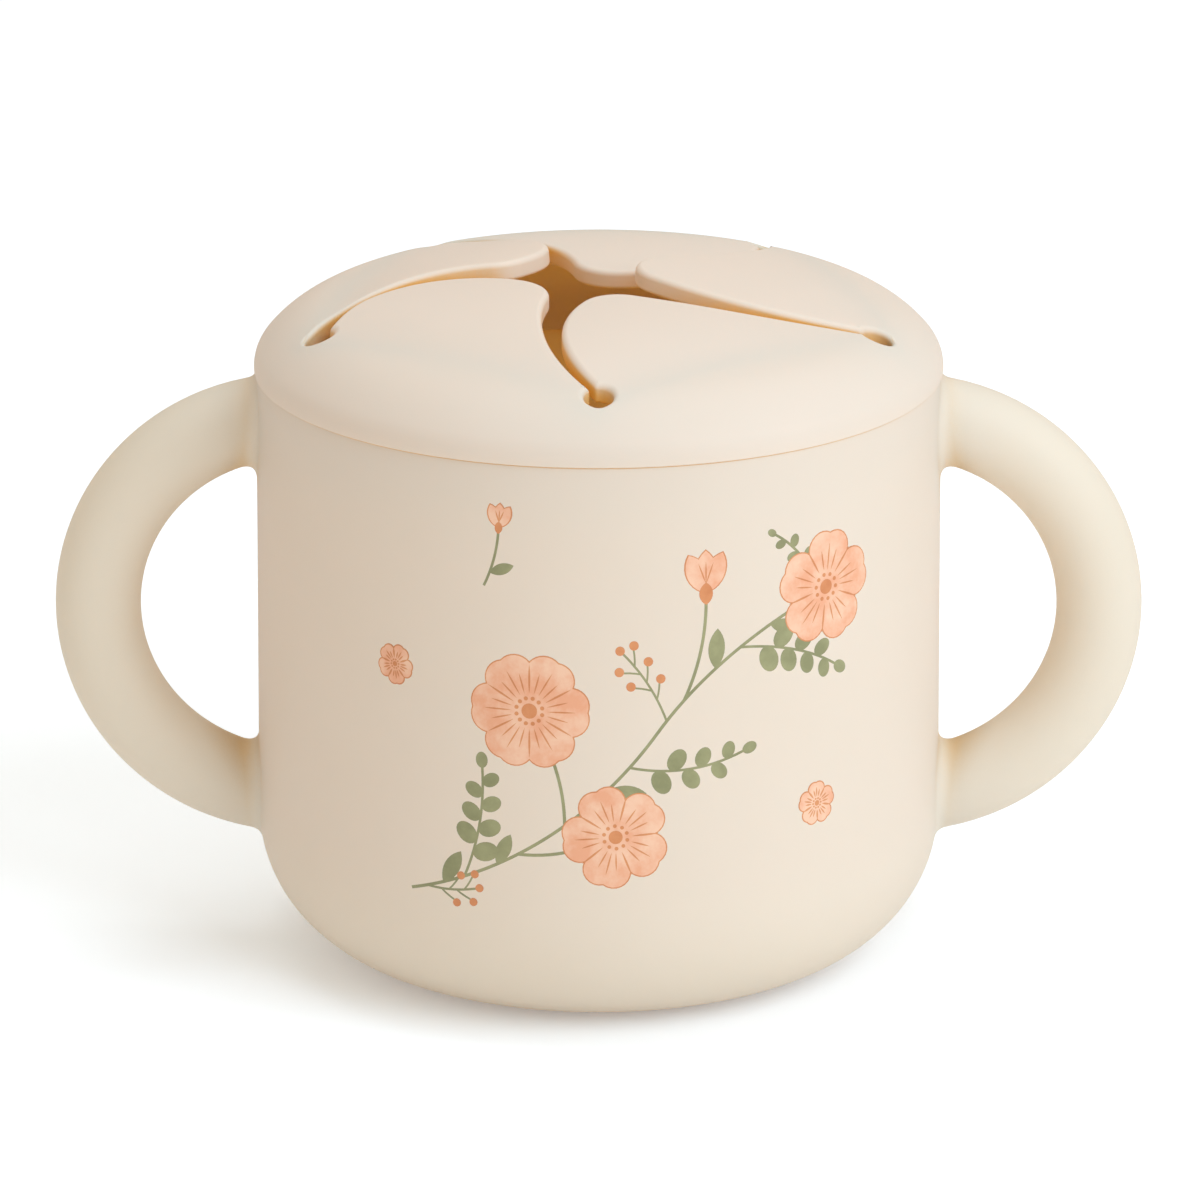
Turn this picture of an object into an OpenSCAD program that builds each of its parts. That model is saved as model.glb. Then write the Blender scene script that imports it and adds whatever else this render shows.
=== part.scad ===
// Toddler snack container: a two-handled silicone cup with a push-in lid.
// The lid's middle is slit into five curved flaps round a small opening.
// Origin at the middle of the flat base, +Z up, handles along X, millimetres.

/* [Cup] */
// Outside diameter of the wall at the top, where the lid starts
rim_d = 90; // [80:1:104]
// How much wider the wall's radius is at its foot than at its top
wall_flare = 0.3; // [0:0.1:2]
// Height of the cup up to the seam with the lid
body_h = 79.4; // [72:0.2:110]
// Radius of the rounding between wall and base
base_round_r = 18.6; // [10:0.2:24]
// Thickness of the wall
wall_t = 2.6; // [2:0.1:3.6]
// Thickness of the floor
floor_t = 3.5; // [2:0.1:6]
// Rounding of the outer edges at the seam
seam_edge_r = 0.5; // [0.2:0.1:0.8]

/* [Handles] */
// Diameter of the round handle
handle_d = 11.3; // [8:0.1:14]
// Radius of the loop, to the middle of the tube
loop_r = 26; // [20:0.5:28]
// How far a loop stands out from the wall, to its outer side
handle_reach = 27; // [24:0.5:32]
// Gap between the top of the handles and the seam with the lid
handle_gap = 1.25; // [0.75:0.25:8]

/* [Lid] */
// How far the lid's edge stands out past the wall of the cup
lid_lip = 0.3; // [0:0.1:1]
// Thickness of the lid and its flaps
lid_t = 2.6; // [1.8:0.1:3.2]
// Radius of the tight lower part of the shoulder
shoulder_edge_r = 4.5; // [3.5:0.1:6]
// Radius of the wide upper part of the shoulder
shoulder_r = 15; // [12:0.5:18]
// Depth of the plug that sits inside the cup
plug_h = 7; // [4:0.5:12]
// Thickness of the plug
plug_t = 1.6; // [1:0.1:2.4]
// Gap between the plug and the wall of the cup
plug_gap = 0.5; // [0.4:0.1:1]
// Gap between the sealing ribs and the wall of the cup
rib_gap = 0.3; // [0.1:0.05:0.35]
// How far the middle of the upper rib lies below the seam
rib_inset = 2.4; // [1:0.1:3]

/* [Flaps] */
// Distance from the lid's edge to the middle of the relief holes
relief_inset = 7.2; // [6.4:0.2:9]
// Diameter of a relief hole, at the outer end of each slit
relief_d = 3.8; // [3.4:0.1:4.4]
// Width of a slit at its narrowest point
slit_w = 1.6; // [1:0.1:2]
// Where the slit is narrowest, in degrees along the bulging side from the relief hole
slit_waist = 18; // [10:1:26]
// Distance from the lid's axis to the bulging side of a flap, before its nose is rounded
nose_gap = 7.4; // [6:0.2:9]
// Radius of the bulging side of a flap
bulge_r = 21; // [20:0.2:23]
// Radius of the hollow side of a flap
hollow_r = 40; // [36:0.5:44]
// Rounding of the nose between the two sides
nose_r = 9; // [6:0.5:10]
// Gap between a flap's root and the ring
root_gap = 0.3; // [0.2:0.05:0.5]

/* [How far each flap has stayed lifted] */
// Front left flap, in degrees
front_left_lift = 1.5; // [-8:0.5:8]
// Front right flap, in degrees
front_right_lift = 0.5; // [-8:0.5:8]
// Back right flap, in degrees
back_right_lift = 5.5; // [-8:0.5:8]
// Back flap, in degrees
back_lift = -6.5; // [-8:0.5:8]
// Back left flap, in degrees
back_left_lift = 6.5; // [-8:0.5:8]

/* [Hidden] */
$fn = 96;

SILICONE = [0.93, 0.88, 0.80];

// Cup
rim_r = rim_d / 2;
foot_r = rim_r + wall_flare;
mouth_r = rim_r - wall_t;
far = 4 * max(rim_r, body_h);

// Handles
tube_r = handle_d / 2;
loop_x = rim_r + handle_reach - tube_r - loop_r;
loop_z = body_h - handle_gap - tube_r - loop_r;

// Lid: three arcs that run into each other, from the seam up to the crown
lid_r = rim_r + lid_lip;
edge_end = 40;
shoulder_end = 75.5;
edge_c = [lid_r - shoulder_edge_r, body_h + seam_edge_r];
shoulder_c = edge_c - (shoulder_r - shoulder_edge_r) * toward(edge_end);
dome_r = shoulder_r + shoulder_c.x / cos(shoulder_end);
dome_c = shoulder_c - (dome_r - shoulder_r) * toward(shoulder_end);
plug_r = mouth_r - plug_gap;
rib_r = plug_gap - rib_gap;
// How far the middle of the lower rib lies above the plug's foot
rib_foot = rib_r + plug_t / 2;

// Flaps: each lies between two relief holes and is drawn with its middle on +X
flap_count = 5;
step = 360 / flap_count;
first_flap = 18;
relief_r = lid_r - relief_inset;
hinge_x = relief_r * cos(step / 2);
hinge_half = relief_r * sin(step / 2);
root_half = hinge_half - relief_d / 2 - root_gap;
hinge_z = dome_z((hinge_x + relief_r) / 2) - lid_t / 2;
// The root's radius takes in the lid's thickness and its rise along the fold line
root_r = lid_t / 2 + (dome_z(hinge_x) - dome_z(relief_r)) / 2;
// How far the two parts of a flap run into each other at the fold line
lap = 0.05;

function toward(a) = [cos(a), sin(a)];
function arc(c, r, from, to, n) =
    [for (i = [0:n]) c + r * toward(from + (to - from) * i / n)];
function heading(p) = atan2(p.y, p.x);
function dome_z(r) = dome_c.y + sqrt(dome_r * dome_r - r * r);

// Corner of a triangle on the base a-b, with sides ra and rb, to the left of a-b
function corner(a, ra, b, rb) =
    let (d = norm(b - a), u = (b - a) / d, s = (ra * ra - rb * rb + d * d) / (2 * d))
    a + s * u + sqrt(ra * ra - s * s) * [-u.y, u.x];

// Outside of the cup as a solid block
module cup_block() {
    rotate_extrude()
        polygon(concat(
            [[0, 0]],
            arc([foot_r - base_round_r, base_round_r], base_round_r, -90, 0, 24),
            arc([rim_r, body_h] - seam_edge_r * [1, 1], seam_edge_r, 0, 90, 4),
            [[0, body_h]]));
}

module cup() {
    inner_r = base_round_r - wall_t;
    color(SILICONE)
    difference() {
        cup_block();
        rotate_extrude()
            polygon(concat(
                [[0, floor_t]],
                arc([foot_r - base_round_r, floor_t + inner_r], inner_r, -90, 0, 20),
                [[mouth_r, body_h], [mouth_r, far], [0, far]]));
    }
}

// One round loop, cut off where it meets the wall
module handle(side) {
    color(SILICONE)
    difference() {
        translate([side * loop_x, 0, loop_z])
            rotate([90, 0, 0])
                rotate_extrude()
                    translate([loop_r, 0])
                        circle(tube_r);
        cup_block();
    }
}

// Section of the domed lid as a solid, with its surface drop mm further in
module lid_section(drop) {
    polygon(concat(
        [[0, body_h]],
        drop > 0
            ? [[lid_r - drop, body_h]]
            : arc([lid_r, body_h] + seam_edge_r * [-1, 1], seam_edge_r, -90, 0, 4),
        arc(edge_c, shoulder_edge_r - drop, 0, edge_end, 6),
        arc(shoulder_c, shoulder_r - drop, edge_end, shoulder_end, 6),
        arc(dome_c, dome_r - drop, shoulder_end, 90, 8)));
}

// Domed lid before its middle is cut, without the plug
module lid_shell() {
    rotate_extrude()
        difference() {
            lid_section(0);
            translate([0, -lap])
                lid_section(lid_t);
        }
}

// Thick edge that lies on the cup's wall, and the plug inside it with two sealing ribs
module plug() {
    rotate_extrude() {
        intersection() {
            lid_section(0);
            translate([plug_r - plug_t, 0])
                square([far, body_h + shoulder_edge_r]);
        }
        translate([plug_r - plug_t, body_h - plug_h])
            square([plug_t, plug_h + shoulder_edge_r]);
        for (z = [body_h - rib_inset, body_h - plug_h + rib_foot])
            translate([plug_r, z])
                circle(rib_r, $fn = 24);
    }
}

// Cylinder along a flap's fold line, end_gap longer at both ends than the flap's root
module root_bar(r, end_gap) {
    translate([hinge_x, 0, hinge_z])
        rotate([90, 0, 0])
            cylinder(r = r, h = 2 * (root_half + end_gap), center = true);
}

module relief_holes() {
    for (k = [0:flap_count - 1])
        rotate([0, 0, k * step - step / 2])
            translate([relief_r, 0, 0])
                cylinder(d = relief_d, h = far);
}

module lid_ring() {
    color(SILICONE)
    difference() {
        union() {
            lid_shell();
            plug();
        }
        rotate([0, 0, first_flap]) {
            // Five-sided middle, from relief hole to relief hole
            rotate([0, 0, -step / 2])
                cylinder(r = relief_r, h = far, $fn = flap_count);
            relief_holes();
            for (k = [0:flap_count - 1])
                rotate([0, 0, k * step])
                    root_bar(root_r + root_gap, root_gap);
        }
    }
}

// Turns a point round the lid's axis
function turned(p, a) = [p.x * cos(a) - p.y * sin(a), p.x * sin(a) + p.y * cos(a)];

// Outline of a flap inside its fold line: bulging side, nose, hollow side.
// The hollow side keeps slit_w away from the next flap's bulging side.
module flap_outline() {
    hole_a = [hinge_x, -hinge_half];
    hole_b = [hinge_x, hinge_half];
    bulge_c = corner([0, 0], nose_gap + bulge_r, hole_a, bulge_r + slit_w / 2);
    next_c = turned(bulge_c, step);
    waist = heading(hole_b - next_c) - slit_waist;
    hollow_c = next_c - (hollow_r - bulge_r - slit_w) * toward(waist);
    nose_c = corner(bulge_c, bulge_r - nose_r, hollow_c, hollow_r + nose_r);
    nose_a = heading(bulge_c - nose_c) - 180;
    nose_b = heading(hollow_c - nose_c);
    polygon(concat(
        arc(bulge_c, bulge_r, heading(hole_a - bulge_c), nose_a, 16),
        arc(nose_c, nose_r, nose_a, nose_b - 360, 8),
        arc(hollow_c, hollow_r, nose_b - 180, heading(hole_b - hollow_c), 16)));
}

// The same, cut off at the fold line, and clear of the ring beside the root
module flap_plan() {
    difference() {
        flap_outline();
        translate([hinge_x, -far / 2])
            square(far);
        translate([hinge_x - root_r, root_half])
            square(far);
        translate([hinge_x - root_r, -root_half - far])
            square(far);
    }
}

// Flap number k, counted round the lid from the back right, turned up at its root by lift
module flap(k, lift) {
    color(SILICONE)
    rotate([0, 0, first_flap + k * step])
    translate([hinge_x, 0, hinge_z])
    rotate([0, lift, 0])
    translate([-hinge_x, 0, -hinge_z])
    difference() {
        intersection() {
            lid_shell();
            union() {
                linear_extrude(far)
                    flap_plan();
                intersection() {
                    root_bar(root_r, 0);
                    translate([hinge_x - lap, -far / 2, 0])
                        cube([far, far, far]);
                }
            }
        }
        relief_holes();
    }
}

cup();
handle(-1);  // handle_left
handle(1);  // handle_right
lid_ring();
flap(3, front_left_lift);  // flap_front_left
flap(4, front_right_lift);  // flap_front_right
flap(0, back_right_lift);  // flap_back_right
flap(1, back_lift);  // flap_back
flap(2, back_left_lift);  // flap_back_left
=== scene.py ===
# Toddler snack container: a silicone cup with a loop handle on each side, and a
# push-in silicone lid whose middle is slit into five soft flaps.
import math

import bmesh
import bpy
from mathutils import Matrix, Vector
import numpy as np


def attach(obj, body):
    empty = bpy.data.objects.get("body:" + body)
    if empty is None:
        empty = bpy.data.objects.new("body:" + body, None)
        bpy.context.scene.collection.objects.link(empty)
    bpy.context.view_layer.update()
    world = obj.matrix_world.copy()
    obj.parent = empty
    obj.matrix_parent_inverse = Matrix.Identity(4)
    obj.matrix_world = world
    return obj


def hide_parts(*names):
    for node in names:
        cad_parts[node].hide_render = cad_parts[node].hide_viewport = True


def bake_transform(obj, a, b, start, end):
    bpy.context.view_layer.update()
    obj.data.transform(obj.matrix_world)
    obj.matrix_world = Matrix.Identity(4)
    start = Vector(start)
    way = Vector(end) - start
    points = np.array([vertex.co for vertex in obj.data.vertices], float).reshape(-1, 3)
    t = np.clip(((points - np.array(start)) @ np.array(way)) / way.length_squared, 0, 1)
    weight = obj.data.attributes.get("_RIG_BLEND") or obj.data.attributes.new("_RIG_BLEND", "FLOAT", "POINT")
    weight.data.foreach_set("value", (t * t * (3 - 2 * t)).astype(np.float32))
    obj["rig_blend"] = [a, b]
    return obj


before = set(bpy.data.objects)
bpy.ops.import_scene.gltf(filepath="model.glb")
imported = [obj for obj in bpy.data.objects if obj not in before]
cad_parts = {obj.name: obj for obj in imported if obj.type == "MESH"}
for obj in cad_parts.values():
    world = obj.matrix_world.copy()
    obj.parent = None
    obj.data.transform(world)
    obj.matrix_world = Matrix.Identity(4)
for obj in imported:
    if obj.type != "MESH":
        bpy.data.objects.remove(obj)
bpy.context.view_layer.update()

# ---------------------------------------------------------------------------
# Cup wall
# One matte silicone moulding, a thick-walled tumbler with a broad rounding
# between wall and base. Its handles are part of the same moulding.
# ---------------------------------------------------------------------------
MM = 0.001  # the shapes are drawn in millimetres and made metres at the end

rim_r, foot_r = 45.0, 45.3  # outside of the wall at the seam and at the foot
body_h = 79.4  # height of the seam between cup and lid
base_round = 18.6
wall_t, floor_t = 2.6, 3.5
seam_round = 0.5  # the mouth's inner edge, and the lid's upright edge above the seam
lip_soft = 0.18  # the edges that meet at the seam are all but sharp
cup_turns = 192  # faces round the cup

SEEN_FROM_ABOVE = (0, -1, 0)  # axis that turns a section in XZ anticlockwise
UPRIGHT = (0, 0, 1)


def straight(shape, start, end, steps=1):
    """Draws a straight row of edges from the vertex start to the point end."""
    for left in range(steps, 0, -1):
        new = bmesh.ops.extrude_vert_indiv(shape, verts=[start])["verts"][0]
        new.co = start.co.lerp(Vector(end), 1 / left)
        start = new
    return start


def arc(shape, start, centre, degrees, steps, axis=SEEN_FROM_ABOVE):
    """Draws an arc of edges from the vertex start round centre."""
    turned = bmesh.ops.spin(
        shape,
        geom=[start],
        cent=centre,
        axis=axis,
        angle=math.radians(degrees),
        steps=steps,
    )
    return [g for g in turned["geom_last"] if isinstance(g, bmesh.types.BMVert)][0]


def turn_on_lathe(shape, steps):
    """Turns the section drawn so far into a closed round shape."""
    bmesh.ops.spin(
        shape,
        geom=shape.verts[:] + shape.edges[:],
        cent=(0, 0, 0),
        axis=UPRIGHT,
        angle=2 * math.pi,
        steps=steps,
        use_merge=True,
    )
    bmesh.ops.remove_doubles(shape, verts=shape.verts, dist=1e-4)
    bmesh.ops.recalc_face_normals(shape, faces=shape.faces)


def finish_piece(name, shape, silicone, nodes=()):
    """Makes a named mesh of the shape, in metres, that stands for those CAD nodes."""
    bmesh.ops.scale(shape, vec=(MM, MM, MM), verts=shape.verts)
    mesh = bpy.data.meshes.new(name)
    shape.to_mesh(mesh)
    shape.free()
    mesh.shade_smooth()
    shading = mesh.attributes.get("shading")
    if shading:  # the surface's own normals, so that no joint or facet shows
        normals = [Vector(v.vector).normalized() for v in shading.data]
        mesh.attributes.remove(shading)
        mesh.normals_split_custom_set_from_vertices(normals)
    mesh.materials.append(silicone)
    piece = bpy.data.objects.new(name, mesh)
    bpy.context.scene.collection.objects.link(piece)
    if nodes:
        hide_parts(*nodes)
    return piece


def feed(tree, socket, value):
    """Links the socket to another node's output, or sets it to a plain value."""
    if isinstance(value, bpy.types.NodeSocket):
        tree.links.new(value, socket)
    else:
        socket.default_value = value


def add_node(tree, kind, x, y, **inputs):
    """Adds a node and feeds its sockets, which are named as in the keywords."""
    node = tree.nodes.new(kind)
    node.location = (x, y)
    for socket, value in inputs.items():
        feed(tree, node.inputs[socket.replace("_", " ")], value)
    return node


def mixed(tree, x, y, share, first, second):
    """Colour that goes from the first to the second while share goes from 0 to 1."""
    node = add_node(tree, "ShaderNodeMix", x, y)
    node.data_type = "RGBA"
    share_in, first_in, second_in, colour_out = 0, 6, 7, 2  # the sockets share names
    feed(tree, node.inputs[share_in], share)
    feed(tree, node.inputs[first_in], first)
    feed(tree, node.inputs[second_in], second)
    return node.outputs[colour_out]


def clouded(tree, place, deep, pale, low, high, **noise):
    """Colour that drifts from the deep tone to the pale one."""
    cloud = add_node(tree, "ShaderNodeTexNoise", -1100, 250, Vector=place, **noise)
    tone = add_node(tree, "ShaderNodeValToRGB", -850, 250, Fac=cloud.outputs["Fac"])
    stops = tone.color_ramp.elements
    for stop, position, colour in zip(stops, (low, high), (deep, pale)):
        stop.position = position
        stop.color = (*colour, 1)
    return tone.outputs["Color"]


def tooth(tree, place):
    """Normals with the fine tooth that a matte mould leaves."""
    grain = add_node(
        tree, "ShaderNodeTexNoise", -850, -250, Vector=place, Scale=5200, Detail=2
    )
    relief = add_node(
        tree, "ShaderNodeBump", -350, -250, Height=grain.outputs["Fac"],
        Strength=0.10, Distance=0.00008,
    )
    return relief.outputs["Normal"]


def matte_silicone(name, pale, deep, amber=1.0):
    """Soft matte silicone: faint clouds in the colour, a fine tooth from the mould.

    It lets some light through, which comes out amber. Narrow gaps, corners and creases
    get painted shade: where ambient occlusion finds them closed in, the colour turns
    amber, apart from those close to the white table. Less light comes through the solid
    handles, further from the axis than the wall, and their corners get a browner
    painted shade.
    """
    # painted shade: the colours that narrow gaps and the handles' corners turn to
    painted_gap_shade_amber, painted_gap_shade_brown = (0.88, 0.55, 0.12, 1), (0.60, 0.39, 0.12, 1)
    through_wall, through_handle = (1.0, 0.695, 0.28, 1), (0.83, 0.55, 0.205, 1)
    wall_ends, handle_begins = 0.0455, 0.0485  # metres from the axis
    # painted shade is kept off the parts this close to the table
    near_table, off_table = 0.008, 0.022  # metres above it
    let_through = 0.31
    material = bpy.data.materials.new(name)
    material.use_nodes = True
    tree = material.node_tree
    skin = tree.nodes["Principled BSDF"]
    place = add_node(tree, "ShaderNodeTexCoord", -1350, 0).outputs["Object"]
    tone = clouded(tree, place, deep, pale, 0.3, 0.7, Scale=38, Detail=3)
    height = add_node(tree, "ShaderNodeSeparateXYZ", -1100, 800, Vector=place)
    # painted shade: how strong it may be, none near the table
    painted_shade_off_table = add_node(
        tree, "ShaderNodeMapRange", -850, 800, Value=height.outputs["Z"],
        From_Min=near_table, From_Max=off_table, To_Max=amber,
    )
    # ambient occlusion finds the closed-in places that get painted shade
    occlusion_for_painted_shade = add_node(tree, "ShaderNodeAmbientOcclusion", -850, 520, Distance=0.009)
    occlusion_for_painted_shade.samples = 8
    painted_gap_shade_share = add_node(
        tree, "ShaderNodeMapRange", -600, 520, Value=occlusion_for_painted_shade.outputs["AO"],
        From_Min=0.38, From_Max=0.84, To_Min=painted_shade_off_table.outputs["Result"], To_Max=0.0,
    )
    painted_gap_shade_share.interpolation_type = "SMOOTHSTEP"
    from_axis = add_node(tree, "ShaderNodeVectorMath", -1100, -500)
    from_axis.operation = "MULTIPLY"
    feed(tree, from_axis.inputs[0], place)
    feed(tree, from_axis.inputs[1], (1, 1, 0))
    reach = add_node(
        tree, "ShaderNodeVectorMath", -850, -500, Vector=from_axis.outputs["Vector"]
    )
    reach.operation = "LENGTH"
    solid = add_node(
        tree, "ShaderNodeMapRange", -600, -500, Value=reach.outputs["Value"],
        From_Min=wall_ends, From_Max=handle_begins,
    ).outputs["Result"]
    # painted shade colour: amber in the wall's gaps, browner at the handles' corners
    painted_gap_shade_colour = mixed(tree, -600, 760, solid, painted_gap_shade_amber, painted_gap_shade_brown)
    colour = mixed(tree, -350, 350, painted_gap_shade_share.outputs["Result"], tone, painted_gap_shade_colour)
    feed(tree, skin.inputs["Base Color"], colour)
    patch = add_node(
        tree, "ShaderNodeTexNoise", -850, 0, Vector=place, Scale=260, Detail=2
    )
    gloss = add_node(
        tree, "ShaderNodeMapRange", -600, 0, Value=patch.outputs["Fac"],
        To_Min=0.50, To_Max=0.60,
    )
    feed(tree, skin.inputs["Roughness"], gloss.outputs["Result"])
    feed(tree, skin.inputs["Normal"], tooth(tree, place))
    skin.inputs["Specular IOR Level"].default_value = 0.35
    skin.inputs["Sheen Weight"].default_value = 0.08
    skin.inputs["Sheen Roughness"].default_value = 0.5
    skin.location = (0, 100)
    passing = mixed(tree, -350, -500, solid, through_wall, through_handle)
    through = add_node(tree, "ShaderNodeBsdfTranslucent", 0, -500, Color=passing)
    both = add_node(tree, "ShaderNodeMixShader", 300, 0, Fac=let_through)
    feed(tree, both.inputs[1], skin.outputs["BSDF"])
    feed(tree, both.inputs[2], through.outputs["BSDF"])
    out = tree.nodes["Material Output"]
    out.location = (500, 0)
    feed(tree, out.inputs["Surface"], both.outputs["Shader"])
    return material


# amber sets how strong the painted shade in the cup's gaps and corners is
cream = matte_silicone(
    "cup_cream_silicone", (0.900, 0.899, 0.829), (0.889, 0.886, 0.811), amber=0.8
)

cup = bmesh.new()
v = cup.verts.new((0, 0, 0))
v = straight(cup, v, (foot_r - base_round, 0, 0), 6)
v = arc(cup, v, (foot_r - base_round, 0, base_round), 90, 30)
v = straight(cup, v, (rim_r, 0, body_h - lip_soft), 24)
v = arc(cup, v, (rim_r - lip_soft, 0, body_h - lip_soft), 90, 4)
mouth_r = rim_r - wall_t
v = straight(cup, v, (mouth_r + seam_round, 0, body_h), 2)
v = arc(cup, v, (mouth_r + seam_round, 0, body_h - seam_round), 90, 5)
inner_round = base_round - wall_t
v = straight(cup, v, (foot_r - wall_t, 0, floor_t + inner_round), 24)
v = arc(cup, v, (foot_r - base_round, 0, floor_t + inner_round), -90, 26)
v = straight(cup, v, (0, 0, floor_t), 6)
turn_on_lathe(cup, cup_turns)
cup_wall = finish_piece("cup_wall", cup, cream, ["cup"])
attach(cup_wall, "cup")

# ---------------------------------------------------------------------------
# Handles
# A round solid loop on each side, moulded with the cup. The tube flares into
# the wall with a soft fillet, wider on the inside of the loop.
# ---------------------------------------------------------------------------
tube_r, loop_r = 5.65, 26.0
loop_x, loop_z = 40.35, 46.5
fillet_inside, fillet_outside = 2.3, 1.5
highest_root = 78.9  # the fillet stays under the seam's rounded edge
tube_sides = 64
tube_rings, fillet_rings = 3, 10  # from the bend's end to the wall, and on the fillet
bend_ends = 68.0  # degrees from the loop's outermost point to where the roots start
sunk = 0.5  # how deep the root goes on inside the wall


def wall_radius(z):
    """Outside radius of the cup at height z."""
    if z < base_round:
        z = max(z, 0)
        return foot_r - base_round + math.sqrt(base_round**2 - (base_round - z) ** 2)
    share = (z - base_round) / (body_h - base_round)
    return foot_r + (rim_r - foot_r) * share


def on_loop(side, degrees):
    """Point of the tube's skin at an angle round the tube and one along the loop."""
    reach = loop_r + tube_r * math.cos(side)
    turn = math.radians(degrees)
    return Vector(
        (
            loop_x + reach * math.cos(turn),
            tube_r * math.sin(side),
            loop_z + reach * math.sin(turn),
        )
    )


def meets_wall(side, up):
    """Angle along the loop at which that line of the tube reaches the wall."""
    near, far = bend_ends, 100.0  # outside the wall, and well inside it
    for _ in range(30):
        middle = (near + far) / 2
        p = on_loop(side, up * middle)
        if math.hypot(p.x, p.y) > wall_radius(p.z):
            near = middle
        else:
            far = middle
    return near


def on_wall(turn, z, depth=0.0):
    """Point on the cup's wall at an angle from +X and a height."""
    r = wall_radius(z) - depth
    return Vector((r * math.cos(turn), r * math.sin(turn), z))


def wall_normal(p):
    """Direction in which the cup's wall faces at a point on it."""
    slope = (wall_radius(p.z + 0.01) - wall_radius(p.z - 0.01)) / 0.02
    r = math.hypot(p.x, p.y)
    return Vector((p.x / r, p.y / r, -slope)).normalized()


def root_line(side, up):
    """How one line of the tube runs into the wall.

    Gives the angle and the point where the fillet begins, the point where the tube
    would meet the wall, and the fillet's foot as a turn round the cup and a height.
    """
    degrees = meets_wall(side, up)
    meeting = on_loop(side, up * degrees)
    outside = (1 + math.cos(side)) / 2
    fillet = fillet_inside + (fillet_outside - fillet_inside) * outside
    back = math.degrees(fillet / (loop_r + tube_r * math.cos(side)))
    tube_end = on_loop(side, up * (degrees - back))
    ahead, behind = (
        on_loop(side + s, up * meets_wall(side + s, up)) for s in (0.01, -0.01)
    )
    away = (ahead - behind).cross(wall_normal(meeting)).normalized()
    if away.dot(meeting - Vector((meeting.x, 0, loop_z + up * loop_r))) < 0:
        away.negate()
    z = min(meeting.z + fillet * away.z, highest_root)
    turn = math.atan2(meeting.y, meeting.x) + fillet * away.y / meeting.x
    return degrees - back, tube_end, meeting, (turn, z)


def grow_root(shape, edges, side_of, shading, up):
    """Runs one end of the tube into the wall: rest of the tube, fillet, sunken end."""
    lines = {}
    rings = [("tube", t / tube_rings) for t in range(1, tube_rings + 1)]
    rings += [("fillet", t / fillet_rings) for t in range(1, fillet_rings + 1)]
    rings += [("sunk", 1.0)]
    for kind, share in rings:
        grown = bmesh.ops.extrude_edge_only(shape, edges=edges)["geom"]
        edges = [g for g in grown if isinstance(g, bmesh.types.BMEdge)]
        edges = [e for e in edges if all(v in grown for v in e.verts)]
        verts = [g for g in grown if isinstance(g, bmesh.types.BMVert)]
        for v in verts:
            side = v[side_of]
            if side not in lines:
                lines[side] = root_line(side, up)
            degrees, tube_end, meeting, (turn, z) = lines[side]
            foot = on_wall(turn, z)
            if kind == "tube":
                v.co = on_loop(side, up * (bend_ends + (degrees - bend_ends) * share))
            elif kind == "fillet":
                first = tube_end.lerp(meeting, share)
                v.co = first.lerp(meeting.lerp(foot, share), share)
                v[shading] = wall_normal(foot) if share == 1 else (0, 0, 0)
            else:
                v.co = on_wall(turn, z, sunk)
    bmesh.ops.contextual_create(shape, geom=edges)


def loop_handle(name, hand, node):
    """A handle: the bend turned round the loop's middle, with a root at each end."""
    shape = bmesh.new()
    side_of = shape.verts.layers.float.new("side")
    shading = shape.verts.layers.float_vector.new("shading")
    bmesh.ops.create_circle(
        shape,
        segments=tube_sides,
        radius=tube_r,
        matrix=Matrix.Translation((loop_x + loop_r, 0, loop_z)),
    )
    for v in shape.verts:
        v[side_of] = math.atan2(v.co.y, v.co.x - loop_x - loop_r)
    centre = (loop_x, 0, loop_z)
    bmesh.ops.rotate(
        shape,
        verts=shape.verts,
        cent=centre,
        matrix=Matrix.Rotation(math.radians(bend_ends), 3, "Y"),
    )
    start = shape.edges[:]
    spun = bmesh.ops.spin(
        shape,
        geom=shape.verts[:] + shape.edges[:],
        cent=centre,
        axis=SEEN_FROM_ABOVE,
        angle=math.radians(2 * bend_ends),
        steps=72,
    )
    end = [g for g in spun["geom_last"] if isinstance(g, bmesh.types.BMEdge)]
    grow_root(shape, start, side_of, shading, -1)
    grow_root(shape, end, side_of, shading, 1)
    bmesh.ops.scale(shape, vec=(hand, 1, 1), verts=shape.verts)
    bmesh.ops.recalc_face_normals(shape, faces=shape.faces)
    shape.normal_update()
    for v in shape.verts:
        own = Vector(v[shading])
        own.x *= hand
        v[shading] = own if own.length > 0.5 else v.normal
    shape.verts.layers.float.remove(shape.verts.layers.float["side"])
    piece = finish_piece(name, shape, cream, [node])
    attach(piece, "cup")


loop_handle("handle_left_loop", -1, "handle_left")
loop_handle("handle_right_loop", 1, "handle_right")

# ---------------------------------------------------------------------------
# Lid edge
# The firm outer part of the lid: a domed shoulder over the seam, and a thin
# plug with two sealing ribs that is pushed into the cup's mouth.
# ---------------------------------------------------------------------------
lid_r, lid_t = 45.3, 2.6
lid_turns = 240  # faces round the lid
edge_end, shoulder_end = 40.0, 75.5  # degrees at which the dome's three arcs meet
dome_cut = 78.4  # degrees at which the edge's section ends, inside the fold
edge_r, shoulder_r = 4.5, 15.0  # of the two outer arcs
edge_x, edge_z = lid_r - edge_r, body_h + seam_round
plug_r, plug_in, plug_foot = 41.9, 40.3, 72.4  # outside, inside and lower end
plug_root_soft, plug_foot_soft = 0.3, 0.6
rib_bump, rib_heights = 0.2, (77.0, 73.4)
inside_r = 1.5  # soft corner between the plug and the underside of the shoulder
fold_in = 33.0  # from the axis to the line where the lid starts to bend
flap_names = [
    "flap_back_right",
    "flap_back",
    "flap_back_left",
    "flap_front_left",
    "flap_front_right",
]
first_flap, flap_step = 18.0, 72.0  # degrees in plan to a flap's middle, and on
hole_r, hole_inset = 1.9, 7.2  # relief holes, and how far in from the lid's edge
holes_reach = lid_r - hole_inset
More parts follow.
